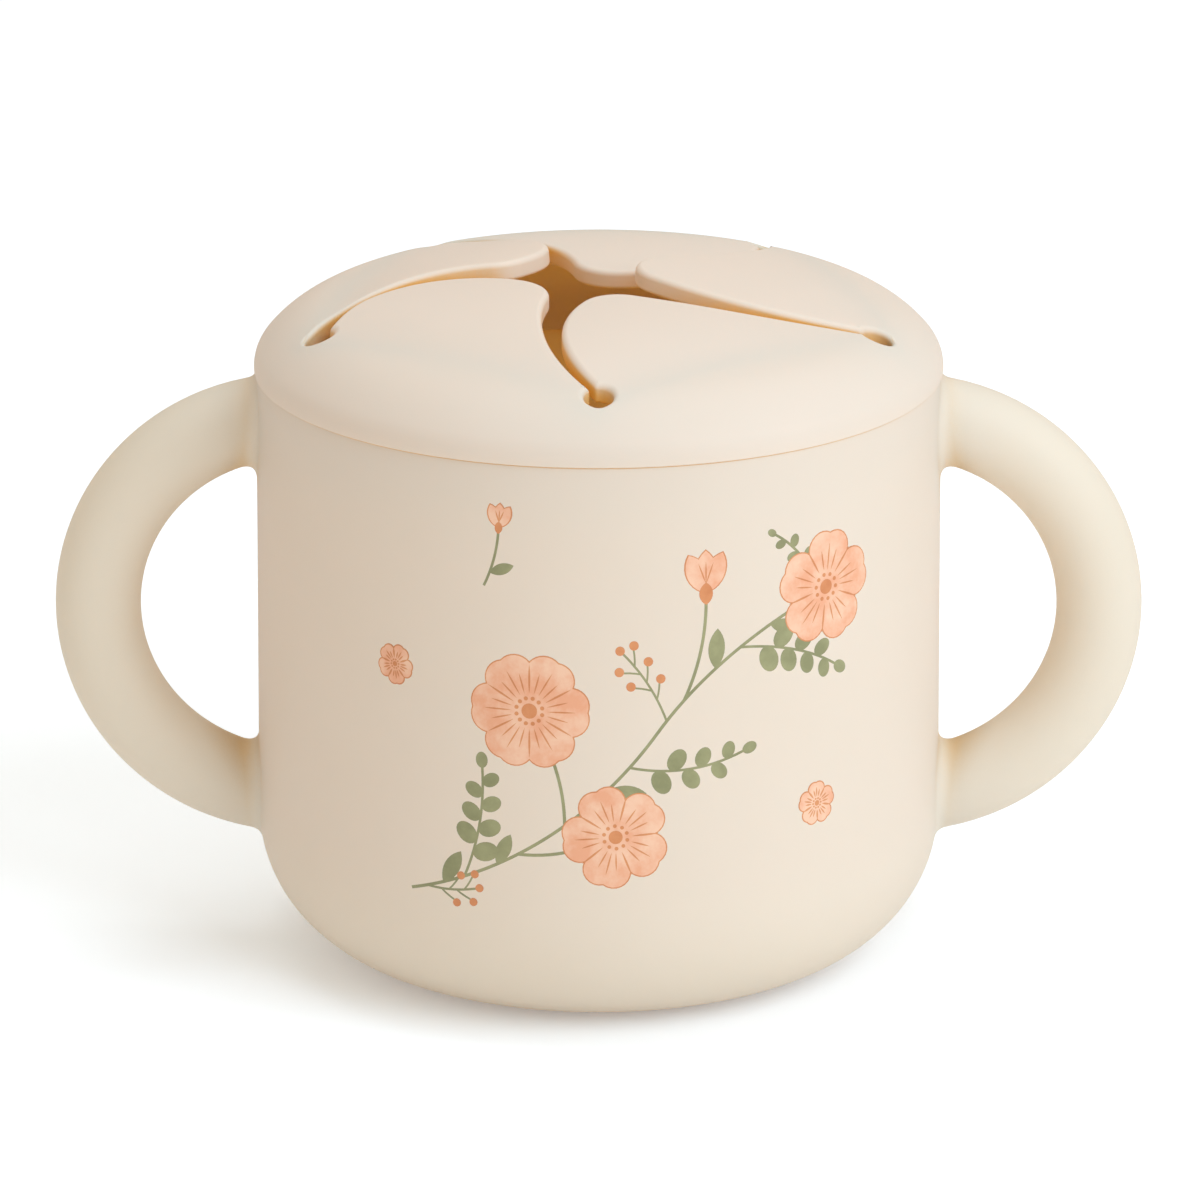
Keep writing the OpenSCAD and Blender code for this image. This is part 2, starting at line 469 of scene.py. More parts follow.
top_soft, under_soft = 0.8, 0.5  # rounding of the edges of the holes and slits
fold_rows = (0, 0.2, 0.45)  # rows of faces just outside the fold


def direction(degrees):
    """Direction in plan at an angle from +X."""
    turn = math.radians(degrees)
    return Vector((math.cos(turn), math.sin(turn)))


shoulder_c = Vector((edge_x, edge_z)) - (shoulder_r - edge_r) * direction(edge_end)
dome_r = shoulder_r + shoulder_c.x / direction(shoulder_end).x
dome_c = shoulder_c - (dome_r - shoulder_r) * direction(shoulder_end)
dome_reach = dome_r * direction(shoulder_end).x
shoulder_reach = edge_x + edge_r * direction(edge_end).x


def arc_under(r):
    """Centre and radius of the arc that forms the dome at distance r from the axis."""
    if r < dome_reach:
        return dome_c, dome_r
    if r < shoulder_reach:
        return shoulder_c, shoulder_r
    return Vector((edge_x, edge_z)), edge_r


def dome_top(x, y):
    """Height of the lid's upper skin."""
    r = math.hypot(x, y)
    centre, radius = arc_under(r)
    return centre.y + math.sqrt(radius**2 - (r - centre.x) ** 2)


def dome_under(x, y):
    """Height of the lid's lower skin."""
    r = math.hypot(x, y)
    centre, radius = arc_under(r)
    inner = radius - lid_t
    return centre.y + math.sqrt(max(inner**2 - (r - centre.x) ** 2, 0))


def dome_slope(x, y):
    """Fall of the dome along X and along Y."""
    r = math.hypot(x, y)
    if r < 1e-6:
        return 0.0, 0.0
    centre, radius = arc_under(r)
    fall = -(r - centre.x) / math.sqrt(radius**2 - (r - centre.x) ** 2)
    return fall * x / r, fall * y / r


edge = bmesh.new()
shading = edge.verts.layers.float_vector.new("shading")
inner_start = dome_c + dome_r * direction(dome_cut)
v = edge.verts.new((inner_start.x, 0, inner_start.y))
v = arc(edge, v, (dome_c.x, 0, dome_c.y), shoulder_end - dome_cut, 8)
v = arc(edge, v, (shoulder_c.x, 0, shoulder_c.y), edge_end - shoulder_end, 22)
v = arc(edge, v, (edge_x, 0, edge_z), -edge_end, 16)
v = straight(edge, v, (lid_r, 0, body_h + lip_soft), 2)
v = arc(edge, v, (lid_r - lip_soft, 0, body_h + lip_soft), -90, 4)
v = straight(edge, v, (plug_r + plug_root_soft, 0, body_h), 3)
v = arc(edge, v, (plug_r + plug_root_soft, 0, body_h - plug_root_soft), 90, 3)
for rib_z in rib_heights:
    v = straight(edge, v, (plug_r, 0, rib_z + rib_bump), 3)
    v = arc(edge, v, (plug_r, 0, rib_z), -180, 6)
foot_z = plug_foot + plug_foot_soft
v = straight(edge, v, (plug_r, 0, foot_z))
v = arc(edge, v, (plug_r - plug_foot_soft, 0, foot_z), -90, 4)
v = straight(edge, v, (plug_in + plug_foot_soft, 0, plug_foot))
v = arc(edge, v, (plug_in + plug_foot_soft, 0, foot_z), -90, 4)
inside_x = plug_in - inside_r
inside_rise = math.sqrt(
    (shoulder_r - lid_t - inside_r) ** 2 - (inside_x - shoulder_c.x) ** 2
)
inside_turn = math.degrees(math.atan2(inside_rise, inside_x - shoulder_c.x))
v = straight(edge, v, (plug_in, 0, shoulder_c.y + inside_rise), 8)
v = arc(edge, v, (inside_x, 0, shoulder_c.y + inside_rise), inside_turn, 6)
v = arc(edge, v, (shoulder_c.x, 0, shoulder_c.y), shoulder_end - inside_turn, 10)
v = arc(edge, v, (dome_c.x, 0, dome_c.y), dome_cut - shoulder_end, 8)
edge.verts.ensure_lookup_table()
edge.edges.new((v, edge.verts[0]))
turn_on_lathe(edge, lid_turns)

# The five-sided middle, where the flaps start, is cut away
flap_turns = [first_flap + k * flap_step for k in range(len(flap_names))]
for turn in flap_turns:
    outward = direction(turn).to_3d()
    for beyond in fold_rows:
        bmesh.ops.bisect_plane(
            edge,
            geom=edge.verts[:] + edge.edges[:] + edge.faces[:],
            plane_co=outward * (fold_in + beyond),
            plane_no=outward,
            dist=1e-5,
        )


def in_the_middle(face):
    """Whether the face lies inside all five folds."""
    centre = face.calc_center_median().to_2d()
    return all(centre.dot(direction(turn)) < fold_in for turn in flap_turns)


bmesh.ops.delete(
    edge, geom=[f for f in edge.faces if in_the_middle(f)], context="FACES"
)
bmesh.ops.bridge_loops(edge, edges=[e for e in edge.edges if e.is_boundary])
bmesh.ops.recalc_face_normals(edge, faces=edge.faces)
edge.normal_update()
wall_top = edge_z - 1e-3  # the dome's arcs start here
for v in edge.verts:
    reach = math.hypot(v.co.x, v.co.y)
    v[shading] = v.normal
    if v.co.z < wall_top or reach < fold_in - 0.1:
        continue
    centre, radius = arc_under(reach)
    out = Vector((reach - centre.x, v.co.z - centre.y))
    if out.length > radius - lid_t / 2:
        across = out.x / reach
        v[shading] = (v.co.x * across, v.co.y * across, out.y)
    elif abs(out.length - radius + lid_t) < 0.01:
        across = out.x / reach
        v[shading] = (-v.co.x * across, -v.co.y * across, -out.y)

# The rounding of the relief holes runs on into the top of the edge
for turn in flap_turns:
    hole = holes_reach * direction(turn + flap_step / 2)
    for v in edge.verts:
        away = v.co.to_2d() - hole
        into = hole_r + top_soft - away.length
        if into < 1e-3 or v.co.z < dome_top(v.co.x, v.co.y) - 0.01:
            continue
        rest = math.sqrt(top_soft**2 - into**2)
        n = Vector(v[shading]).normalized()
        away = away.normalized() * into / rest * n.z
        v[shading] = (n.x - away.x, n.y - away.y, n.z)
        v.co.z -= top_soft - rest

lid_cream = matte_silicone(
    "lid_cream_silicone", (0.896, 0.900, 0.842), (0.885, 0.887, 0.824)
)
lid_edge = finish_piece("lid_edge", edge, lid_cream, ["lid_ring"])
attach(lid_edge, "lid")

# ---------------------------------------------------------------------------
# Flaps
# The middle of the same moulding, slit into a pinwheel of five soft flaps
# round a small opening. Each slit ends in a round hole so that it can't tear,
# and each flap bends on the line between two of those holes.
# ---------------------------------------------------------------------------
hinge_x = holes_reach * direction(flap_step / 2).x
hinge_half = holes_reach * direction(flap_step / 2).y
hinge_z = 86.8874  # height of the line on which a flap bends
bend_end = 28.6  # from here inwards a flap turns as one
strip = hinge_x + 0.43  # beyond it a flap is cut off straight between the holes
slit_w, plain_gap, plain_bulge = 1.6, 7.4, 21.0  # the pinwheel before the flaps give
blank_end, soft_end = 36.5, 34  # outer side of a flap's blank, and of its soft edges
curl_over, twist_over = 20, 12  # how far inwards the curl and the twist build up
mesh_step = 1.5  # size of the plate's faces, so that it can bend


def heading(p):
    """Angle in plan at which p lies."""
    return math.degrees(math.atan2(p.y, p.x))


def turned(p, degrees):
    """p turned round the axis."""
    return Vector(p).to_2d() @ Matrix.Rotation(-math.radians(degrees), 2)


def corner(a, ra, b, rb):
    """Corner of a triangle on the base a-b with sides ra and rb, to its left."""
    along = (b - a).normalized()
    base = (b - a).length
    s = (ra**2 - rb**2 + base**2) / (2 * base)
    return a + s * along + math.sqrt(ra**2 - s**2) * Vector((-along.y, along.x))


def flat_arc(shape, v, centre, end_heading, steps, clockwise=False):
    """Goes on with an outline from v round centre, up to a heading seen from centre."""
    sweep = (end_heading - heading(v.co.to_2d() - centre)) % 360
    if clockwise:
        sweep -= 360
    return arc(shape, v, (centre.x, centre.y, 0), sweep, steps, axis=UPRIGHT)


def bulge_centre(hole, gap, radius):
    """Centre of a flap's bulging side, from the hole to gap off the axis."""
    return corner(Vector((0, 0)), gap + radius, hole, radius + slit_w / 2)


def flap_outline(shape, nose_gap, bulge_r, hollow_r, nose_r, waist, slit):
    """Outline of one flap in plan, its middle on +X, from hole to hole."""
    hole_a = Vector((hinge_x, -hinge_half))
    hole_b = Vector((hinge_x, hinge_half))
    bulge_c = bulge_centre(hole_a, nose_gap, bulge_r)
    next_c = turned(bulge_centre(hole_a, plain_gap, plain_bulge), flap_step)
    narrowest = direction(heading(hole_b - next_c) - waist)
    hollow_c = next_c - (hollow_r - plain_bulge - slit) * narrowest
    nose_c = corner(bulge_c, bulge_r - nose_r, hollow_c, hollow_r + nose_r)
    nose_a = heading(bulge_c - nose_c) - 180
    nose_b = heading(hollow_c - nose_c)
    slit_a = corner(hole_a, hole_r, bulge_c, bulge_r)
    slit_b = corner(hole_b, hole_r, hollow_c, hollow_r)
    past = 40  # degrees of the hole's edge that belong to the neighbour
    start = hole_a + hole_r * direction(-flap_step / 2 - past)
    v = first = shape.verts.new((blank_end, start.y, 0))
    v = straight(shape, v, (start.x, start.y, 0))
    v = flat_arc(shape, v, hole_a, heading(slit_a - hole_a), 26)
    v = flat_arc(shape, v, bulge_c, nose_a, 52, clockwise=True)
    v = flat_arc(shape, v, nose_c, nose_b, 24, clockwise=True)
    v = flat_arc(shape, v, hollow_c, heading(slit_b - hollow_c), 52)
    v = flat_arc(shape, v, hole_b, flap_step / 2 + past, 26)
    v = straight(shape, v, (blank_end, v.co.y, 0))
    shape.edges.new((v, first))
    bmesh.ops.remove_doubles(shape, verts=shape.verts, dist=1e-3)


def cut_off(shape, where, outward, beyond=0.0):
    """Cuts off what lies beyond a plane, where X is over beyond, and closes the cut."""
    faces = [f for f in shape.faces if min(v.co.x for v in f.verts) > beyond - 1e-3]
    around = {e for f in faces for e in f.edges} | {v for f in faces for v in f.verts}
    bmesh.ops.bisect_plane(
        shape,
        geom=faces + list(around),
        plane_co=where,
        plane_no=outward,
        clear_outer=True,
        dist=1e-5,
    )
    bmesh.ops.holes_fill(
        shape, edges=[e for e in shape.edges if e.is_boundary], sides=0
    )


def ease(share):
    """Goes smoothly from 0 to 1 with the share."""
    share = min(max(share, 0), 1)
    return share * share * (3 - 2 * share)


def give(x, y, curl, twist):
    """How far the soft flap stands off the dome: its nose curls, its sides twist."""
    inwards = max((bend_end - x) / curl_over, 0)
    return curl * inwards**2 + twist * y / 10 * ease((fold_in - x) / twist_over)


def lift(shape, shading, degrees):
    """Turns the flap up round its fold line, more and more from the fold inwards."""
    for v in shape.verts:
        share = ease((fold_in - v.co.x) / (fold_in - bend_end))
        turn = Matrix.Rotation(math.radians(degrees) * share, 3, "Y")
        pivot = Vector((hinge_x, 0, hinge_z))
        v.co = pivot + turn @ (v.co - pivot)
        v[shading] = turn @ Vector(v[shading])


def flap(name, middle, outline, degrees, curl, twist):
    """One flap: a plate cut to its outline, laid on the dome, bent and turned."""
    shape = bmesh.new()
    shading = shape.verts.layers.float_vector.new("shading")
    flap_outline(shape, *outline)
    plate = bmesh.ops.contextual_create(shape, geom=shape.edges[:])["faces"]
    raised = bmesh.ops.extrude_face_region(shape, geom=plate)["geom"]
    raised = [g for g in raised if isinstance(g, bmesh.types.BMVert)]
    bmesh.ops.translate(shape, vec=(0, 0, lid_t), verts=raised)
    bmesh.ops.recalc_face_normals(shape, faces=shape.faces)
    for height, soft, segments in ((lid_t, top_soft, 5), (0, under_soft, 3)):
        rim = [
            e
            for e in shape.edges
            if all(abs(v.co.z - height) < 1e-4 for v in e.verts)
            and min(v.co.x for v in e.verts) < soft_end
            and abs(sum(v.co.x for v in e.verts) - 2 * blank_end) > 1e-3
        ]
        bmesh.ops.bevel(
            shape,
            geom=rim,
            offset=soft,
            offset_type="OFFSET",
            segments=segments,
            profile=0.5,
            affect="EDGES",
            material=-1,
        )
    shape.normal_update()
    for v in shape.verts:
        if v.co.z > lid_t - 1e-3:
            v[shading] = UPRIGHT
        elif v.co.z < 1e-3:
            v[shading] = (0, 0, -1)
        elif under_soft - 1e-3 < v.co.z < lid_t - top_soft + 1e-3:
            v[shading] = (v.normal.x, v.normal.y, 0)
        else:
            v[shading] = v.normal
    cut_off(shape, (fold_in, 0, 0), (1, 0, 0))
    bmesh.ops.bisect_plane(
        shape,
        geom=shape.verts[:] + shape.edges[:] + shape.faces[:],
        plane_co=(strip, 0, 0),
        plane_no=(1, 0, 0),
        dist=1e-5,
    )
    aside = direction(flap_step / 2)
    cut_off(shape, (0, 0, 0), (-aside.y, aside.x, 0), strip)
    cut_off(shape, (0, 0, 0), (-aside.y, -aside.x, 0), strip)
    lines = [(x * mesh_step, 0) for x in range(2, 22)]
    lines += [(0, y * mesh_step) for y in range(-16, 17)]
    for x, y in lines:
        bmesh.ops.bisect_plane(
            shape,
            geom=shape.verts[:] + shape.edges[:] + shape.faces[:],
            plane_co=(x, y, 0),
            plane_no=(1, 0, 0) if x else (0, 1, 0),
            dist=1e-5,
        )
    for v in shape.verts:
        top, under = dome_top(v.co.x, v.co.y), dome_under(v.co.x, v.co.y)
        fall_x, fall_y = dome_slope(v.co.x, v.co.y)
        own = give(v.co.x, v.co.y, curl, twist)
        fall_x += (give(v.co.x + 0.1, v.co.y, curl, twist) - own) / 0.1
        fall_y += (give(v.co.x, v.co.y + 0.1, curl, twist) - own) / 0.1
        n = Vector(v[shading])
        v[shading] = (n.x - fall_x * n.z, n.y - fall_y * n.z, n.z)
        v[shading] = Vector(v[shading]).normalized()
        v.co.z = under + (top - under) * v.co.z / lid_t + own
    lift(shape, shading, degrees)
    about = Matrix.Rotation(math.radians(middle), 3, "Z")
    bmesh.ops.rotate(shape, verts=shape.verts, cent=(0, 0, 0), matrix=about)
    for v in shape.verts:
        v[shading] = about @ Vector(v[shading])
    bmesh.ops.recalc_face_normals(shape, faces=shape.faces)
    piece = finish_piece(name + "_skin", shape, lid_cream, [name])
    outward = direction(middle).to_3d() * MM
    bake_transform(piece, "lid", name, start=outward * fold_in, end=outward * bend_end)


# Each soft flap gives in its own way: its outline (the gap from the axis to its
# bulge, the radii of bulge, hollow and nose, the waist's turn, the slit's spare
# width), then how far it is lifted in degrees, how far its nose curls and its
# sides twist
flap_gives = [
    ((2.52, 28.90, 28.00, 6.00, 24.0, 0.69), 3.0, -0.30, 0.00),  # back right
    ((8.72, 20.80, 24.43, 5.76, 9.8, 2.29), -5.2, -0.10, 0.00),  # back
    ((11.00, 15.18, 26.66, 5.11, -12.0, 2.53), 4.9, -1.30, 0.45),  # back left
    ((5.95, 18.33, 38.99, 7.60, 15.8, 0.61), 0.4, -0.82, -0.28),  # front left
    ((4.61, 25.49, 50.00, 4.88, 22.1, 0.17), 1.3, -0.90, -0.14),  # front right
]
for name, middle, own_shape in zip(flap_names, flap_turns, flap_gives):
    flap(name, middle, *own_shape)

# ---------------------------------------------------------------------------
# Print
# A plain flower print on the front of the cup, in three silicone inks that lie
# on the wall as a film: pale petals, rust lines and grey-green leaves.
# ---------------------------------------------------------------------------
film_foot = -0.05  # the inks go this far into the wall
# How far each ink stands off the wall
leaf_film, outline_film, petal_film, line_film = 0.025, 0.04, 0.055, 0.075
strip_w = 1.5  # the flat drawing is cut into upright strips to follow the wall


def printed(name, pale, deep):
    """Ink of a soft, slightly uneven tone, as matte as the wall under it."""
    material = bpy.data.materials.new(name)
    material.use_nodes = True
    tree = material.node_tree
    skin = tree.nodes["Principled BSDF"]
    place = add_node(tree, "ShaderNodeTexCoord", -1350, 0).outputs["Object"]
    tone = clouded(
        tree, place, deep, pale, 0.36, 0.62, Scale=240, Detail=4, Roughness=0.65
    )
    feed(tree, skin.inputs["Base Color"], tone)
    feed(tree, skin.inputs["Normal"], tooth(tree, place))
    skin.inputs["Roughness"].default_value = 0.55
    skin.inputs["Specular IOR Level"].default_value = 0.35
    return material


def ink_height(shape, film):
    """Each motif lies a hair higher than the last one, so that no two share a plane."""
    return film + 0.001 * (len(shape.faces) % 11)


def dot(shape, film, at, r, length=1.0, turn=0.0, sides=20):
    """A round dot, or a round leaf where length stretches it along its turn."""
    place = Matrix.Translation((at[0], at[1], ink_height(shape, film)))
    place = place @ Matrix.Rotation(math.radians(turn), 4, "Z")
    place = place @ Matrix.Diagonal((length, 1, 1, 1))
    bmesh.ops.create_circle(
        shape, cap_ends=True, segments=sides, radius=r, matrix=place
    )


def fill_new(shape):
    """Closes the outline that was drawn last, and fills it."""
    loose = [e for e in shape.edges if not e.link_faces]
    verts = list({v for e in loose for v in e.verts})
    bmesh.ops.remove_doubles(shape, verts=verts, dist=1e-3)
    loose = [e for e in shape.edges if not e.link_faces]
    bmesh.ops.contextual_create(shape, geom=loose)


def blade(shape, film, base, turn, length, half_width):
    """A pointed leaf, petal or vein between two arcs."""
    height = ink_height(shape, film)
    along, across = direction(turn), direction(turn + 90)
    radius = (length**2 / 4 + half_width**2) / (2 * half_width)
    sweep = -2 * math.degrees(math.asin(length / 2 / radius))
    middle = Vector(base) + along * length / 2
    off = across * (radius - half_width)
    v = shape.verts.new((base[0], base[1], height))
    for centre in (middle - off, middle + off):
        v = arc(shape, v, (*centre, height), sweep, 10, axis=UPRIGHT)
    fill_new(shape)


def stem(shape, start, turn, radius, degrees, width=0.42):
    """A curved stem of even width; gives the point and the direction where it ends."""
    height = ink_height(shape, leaf_film)
    side = 1 if degrees > 0 else -1
    start = Vector(start)
    centre = start + side * radius * direction(turn + 90)
    across = direction(turn + 90) * width / 2
    ends = [shape.verts.new((*(start + s * across), height)) for s in (1, -1)]
    line = shape.edges.new(ends)
    bmesh.ops.spin(
        shape,
        geom=ends + [line],
        cent=(*centre, height),
        axis=UPRIGHT,
        angle=math.radians(degrees),
        steps=max(3, round(radius * math.radians(abs(degrees)) / 1.0)),
    )
    return centre - side * radius * direction(turn + degrees + 90), turn + degrees


def along_stem(start, turn, radius, degrees, share):
    """Point and direction at a share of a stem's length."""
    side = 1 if degrees > 0 else -1
    centre = Vector(start) + side * radius * direction(turn + 90)
    here = turn + degrees * share
    return centre - side * radius * direction(here + 90), here


def lobes(shape, film, at, reach, turn, petals, more=0.0):
    """Outline of an open blossom: every petal ends in two soft lobes."""
    height = ink_height(shape, film)
    lobe_r = 0.30 * reach + more
    out = 0.68 * reach
    apart = 0.155 * 360 / petals
    middles = [turn + i * 360 / petals for i in range(petals)]
    turns = [middle + s * apart for middle in middles for s in (-1, 1)]
    dips = []
    for a, b in zip(turns, turns[1:] + [turns[0] + 360]):
        half = math.radians((b - a) / 2)
        dip = out * math.cos(half) + math.sqrt(lobe_r**2 - (out * math.sin(half)) ** 2)
        dips.append(Vector(at) + dip * direction((a + b) / 2))
    v = shape.verts.new((*dips[-1], height))
    for lobe, dip in zip(turns, dips):
        centre = Vector(at) + out * direction(lobe)
        sweep = (heading(dip - centre) - heading(v.co.to_2d() - centre)) % 360
        v = arc(shape, v, (*centre, height), sweep, 8, axis=UPRIGHT)
    fill_new(shape)


def blossom(at, reach, turn, petals=5):
    """An open blossom seen from the front, with veins and a dotted middle."""
    lobes(rust, outline_film, at, reach, turn, petals, more=0.16)
    lobes(petal, petal_film, at, reach, turn, petals)
    at = Vector(at)
    for i in range(petals):
        middle = turn + i * 360 / petals
        between = middle + 180 / petals
        root = at + 0.30 * reach * direction(between)
        blade(rust, line_film, root, between, 0.50 * reach, 0.13)
        for lean, far in ((-15, 0.36), (0, 0.46), (15, 0.36)):
            vein = middle + lean
            root = at + 0.30 * reach * direction(vein)
            blade(rust, line_film, root, vein, far * reach, 0.10)
    dot(rust, line_film, at, 0.13 * reach)
    for i in range(2 * petals):
        around = at + 0.22 * reach * direction(turn + (i + 0.5) * 180 / petals)
        dot(rust, line_film, around, 0.028 * reach + 0.06, sides=10)


def bud(at, turn, size):
    """A closed bud on its stem's end: three blades in a rust cup."""
    at, up = Vector(at), direction(turn)
    long, half_width, rim = 1.04 * size, 0.26 * size, 0.12
    base = at + 0.2 * size * up
    for lean in (-24, 24, 0):
        out = turn + lean
        blade(rust, outline_film, base - rim * up, out, long + 0.3, half_width + rim)
        blade(petal, petal_film, base, out, long, half_width)
    for lean in (-20, 0, 20):
        vein = at + 0.42 * size * up
        blade(rust, line_film, vein, turn + lean, 0.55 * size, 0.09)
    blade(rust, line_film, at - 0.1 * size * up, turn, 0.55 * size, 0.17 * size)


def leafy(start, turn, radius, degrees, count, size, length=1.35):
    """A sprig with round leaves on both sides and one at its tip."""
    tip, last = stem(leafage, start, turn, radius, degrees, 0.34)
    for i in range(count):
        p, here = along_stem(start, turn, radius, degrees, 0.22 + 0.74 * i / count)
        side = 1 if i % 2 else -1
        grown = size * (1 - 0.35 * i / count)
        out = here + side * 58
        at = p + grown * length * 1.05 * direction(out)
        dot(leafage, leaf_film, at, grown, length, out)
    at = tip + 0.6 * size * length * direction(last)
    dot(leafage, leaf_film, at, 0.62 * size, length, last)


def berries(start, turn, radius, degrees, count, size):
    """A fine sprig with a berry at the end of every short stalk."""
    tip, last = stem(leafage, start, turn, radius, degrees, 0.3)
    dot(rust, line_film, tip + size * direction(last), size)
    for i in range(count):
        p, here = along_stem(start, turn, radius, degrees, 0.3 + 0.62 * i / count)
        out = here + (42 if i % 2 else -42)
        q, _ = stem(leafage, p, out, 9, 14, 0.24)
        dot(rust, line_film, q + size * direction(out), size)


leafage, rust, petal = bmesh.new(), bmesh.new(), bmesh.new()
# The long stem swings up from the lower left to the upper right
lower = ((-25.5, 20.5), 16.0, 62.0, 38.0)
middle_end = stem(leafage, *lower)
upper = (*middle_end, 42.0, -34.0)
top_end = stem(leafage, *upper)
blossom(top_end[0] + 5.0 * direction(top_end[1]), 7.6, 12)
p, here = along_stem(*lower, 0.40)
q, _ = stem(leafage, p, here - 34, 22, 22)
blossom(q + 4.6 * direction(here - 12), 7.0, 40)
p, here = along_stem(*lower, 0.58)
q, _ = stem(leafage, p, here + 52, 26, 26)
blossom(q + 4.4 * direction(here + 78), 7.9, 0, 6)
p, here = along_stem(*upper, 0.22)
q, last = stem(leafage, p, here + 18, 30, 26)
bud(q, last, 5.4)
p, here = along_stem(*upper, 0.62)
leafy(p, here - 36, 30, -30, 7, 1.35)
p, here = along_stem(*lower, 0.2)
leafy(p, here + 44, 34, 26, 7, 1.3)
p, here = along_stem(*lower, 0.86)
leafy(p, here - 62, 26, 34, 6, 1.25)
p, here = along_stem(*upper, 0.08)
berries(p, here + 58, 26, 24, 5, 0.62)
p, here = along_stem(*lower, 0.06)
berries(p, here - 24, 20, 20, 4, 0.55)
for share, out, long in ((0.12, 40, 5.2), (0.32, 38, 4.6), (0.74, -44, 5.6)):
    p, here = along_stem(*lower, share)
    blade(leafage, leaf_film, p, here + out, long, 0.21 * long)
for share, out, long in ((0.45, 48, 5.4), (0.82, -40, 4.6)):
    p, here = along_stem(*upper, share)
    blade(leafage, leaf_film, p, here + out, long, 0.21 * long)
# Small motifs, strewn round it
blossom((30.5, 31.0), 2.9, 20)
blossom((-28.0, 50.5), 2.7, 60)
q, last = stem(leafage, (-15.0, 63.0), 64, 20, 22, 0.34)
bud(q, last, 3.0)
blade(leafage, leaf_film, (-14.2, 64.8), 20, 3.4, 0.75)
leafy((29.5, 62.5), 118, 16, 30, 4, 0.8)

strip_lines = [x * strip_w for x in range(-25, 26)]
silicone_inks = (
    ("print_leaves", leafage, "print_leaf", (0.33, 0.325, 0.175), (0.25, 0.25, 0.13)),
    ("print_petals", petal, "print_petal", (0.87, 0.55, 0.40), (0.80, 0.385, 0.24)),
    ("print_lines", rust, "print_line", (0.69, 0.29, 0.13), (0.60, 0.22, 0.09)),
)
for name, shape, slot, pale, deep in silicone_inks:
    for x in strip_lines:
        bmesh.ops.bisect_plane(
            shape,
            geom=shape.verts[:] + shape.edges[:] + shape.faces[:],
            plane_co=(x, 0, 0),
            plane_no=(1, 0, 0),
            dist=1e-5,
        )
    raised = bmesh.ops.extrude_face_region(shape, geom=shape.faces[:])["geom"]
    for v in (g for g in raised if isinstance(g, bmesh.types.BMVert)):
        v.co.z = film_foot
    bmesh.ops.recalc_face_normals(shape, faces=shape.faces)
    shading = shape.verts.layers.float_vector.new("shading")
    for v in shape.verts:
        turn = math.radians(-90) + v.co.x / foot_r
        v.co = on_wall(turn, v.co.y, -v.co.z)
        v[shading] = wall_normal(v.co)
    ink = printed(slot + "_ink", pale, deep)
    piece = finish_piece(name, shape, ink)
    piece.visible_shadow = False  # too thin to keep the light off the wall
    piece.visible_diffuse = False
    piece.visible_transmission = False
    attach(piece, "cup")

# ---------------------------------------------------------------------------
# Table, light and camera
# A plain white table that fades into the background, a large soft lamp at the
# upper right, a weaker one above and the pale room around. All in metres.
# ---------------------------------------------------------------------------
table_gap = 0.00002  # the cup stands a hair above the table
lamps_aim, aim = Vector((0, 0, 0.05)), Vector((0, 0, 0.047))
eye_height, eye_distance = math.radians(18.2), 1.2
frame_width, lens_in_widths = 36.0, 7.541  # the camera's frame in mm, a long lens


def lit_matte(tree, colour, glow_colour, strength):
    """A matte surface with a little light of its own."""
    matte = add_node(tree, "ShaderNodeBsdfDiffuse", 0, 0, Color=(*colour, 1))
    glow = add_node(
        tree, "ShaderNodeEmission", 0, 0, Color=(*glow_colour, 1), Strength=strength
    )
    both = add_node(tree, "ShaderNodeAddShader", 0, 0)
    feed(tree, both.inputs[0], matte.outputs[0])
    feed(tree, both.inputs[1], glow.outputs[0])
    return both


def by_ray(tree, other_ray, unseen, seen):
    """Shows the camera and one more kind of ray one shader, and the rest the other."""
    ray = add_node(tree, "ShaderNodeLightPath", 0, 0)
    either = add_node(tree, "ShaderNodeMath", 0, 0)
    either.operation = "MAXIMUM"
    feed(tree, either.inputs[0], ray.outputs["Is Camera Ray"])
    feed(tree, either.inputs[1], ray.outputs[other_ray])
    mix = add_node(tree, "ShaderNodeMixShader", 0, 0, Fac=either.outputs[0])
    feed(tree, mix.inputs[1], unseen.outputs[0])
    feed(tree, mix.inputs[2], seen.outputs[0])
    return mix.outputs[0]


bpy.ops.mesh.primitive_plane_add(size=6, location=(0, 0, -table_gap))
table = bpy.context.object
table.name = "table"
white = bpy.data.materials.new("white_table")
white.use_nodes = True
tree = white.node_tree
tree.nodes.clear()
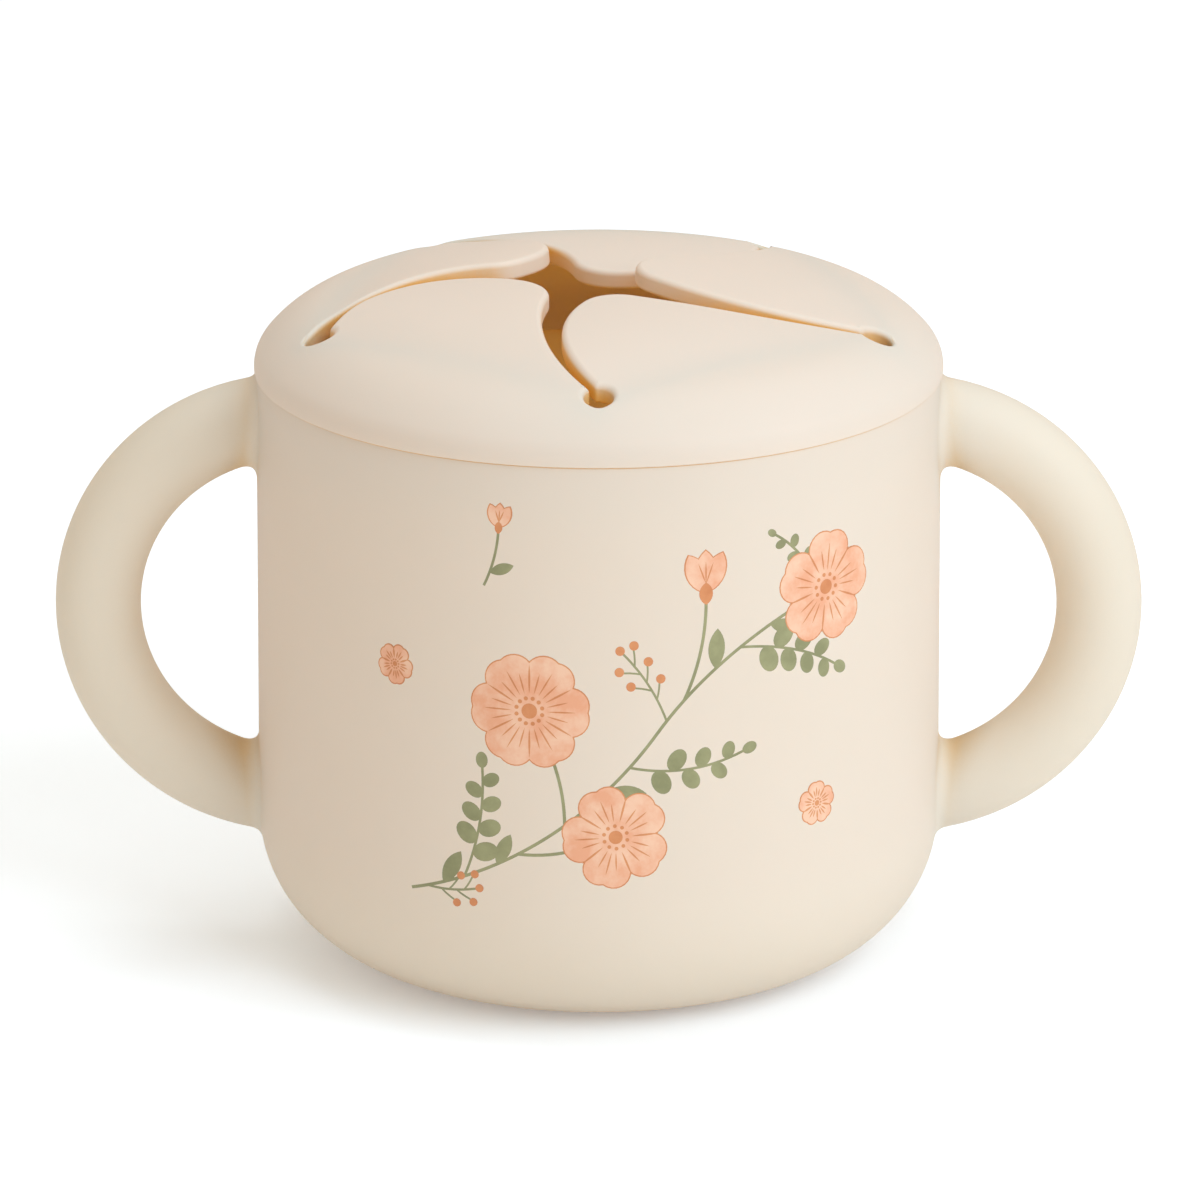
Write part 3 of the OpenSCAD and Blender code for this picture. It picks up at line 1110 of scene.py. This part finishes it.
# As it lights the cup, and as it is seen
under_cup = lit_matte(tree, (0.96, 0.96, 0.96), (1.0, 0.93, 0.80), 0.065)
in_view = lit_matte(tree, (0.89, 0.925, 0.99), (1, 1, 1), 0.225)
surface = by_ray(tree, "Is Glossy Ray", under_cup, in_view)
add_node(tree, "ShaderNodeOutputMaterial", 0, 0, Surface=surface)
table.data.materials.append(white)

world = bpy.data.worlds.new("pale_room")
bpy.context.scene.world = world
world.use_nodes = True
tree = world.node_tree
tree.nodes.clear()
room = add_node(
    tree, "ShaderNodeBackground", 0, 0, Color=(1.0, 0.92, 0.765, 1), Strength=0.59
)
backdrop = add_node(tree, "ShaderNodeBackground", 0, 0, Color=(1, 1, 1, 1), Strength=1)
surface = by_ray(tree, "Is Transmission Ray", room, backdrop)
add_node(tree, "ShaderNodeOutputWorld", 0, 0, Surface=surface)


def soft_lamp(name, place, size, watts, colour):
    """A square soft lamp that faces the cup."""
    data = bpy.data.lights.new(name, "AREA")
    data.shape = "SQUARE"
    data.size = size
    data.energy = watts
    data.color = colour
    lamp = bpy.data.objects.new(name, data)
    bpy.context.scene.collection.objects.link(lamp)
    lamp.location = place
    facing = lamps_aim - Vector(place)
    lamp.rotation_euler = facing.to_track_quat("-Z", "Y").to_euler()


soft_lamp("key_lamp", (0.75, -0.65, 0.75), 0.9, 8.0, (0.89, 1.02, 1.13))
soft_lamp("top_lamp", (0.0, 0.15, 1.1), 0.8, 3.5, (0.92, 1.03, 1.10))

back = Vector((0, -math.cos(eye_height), math.sin(eye_height)))
camera_data = bpy.data.cameras.new("camera")
camera_data.sensor_width = frame_width
camera_data.lens = frame_width * lens_in_widths
camera_data.shift_x = 0.0011
camera = bpy.data.objects.new("camera", camera_data)
bpy.context.scene.collection.objects.link(camera)
camera.location = aim + back * eye_distance
camera.rotation_euler = (-back).to_track_quat("-Z", "Y").to_euler()
bpy.context.scene.camera = camera
bpy.context.scene.view_settings.view_transform = "Standard"

bpy.context.view_layer.update()
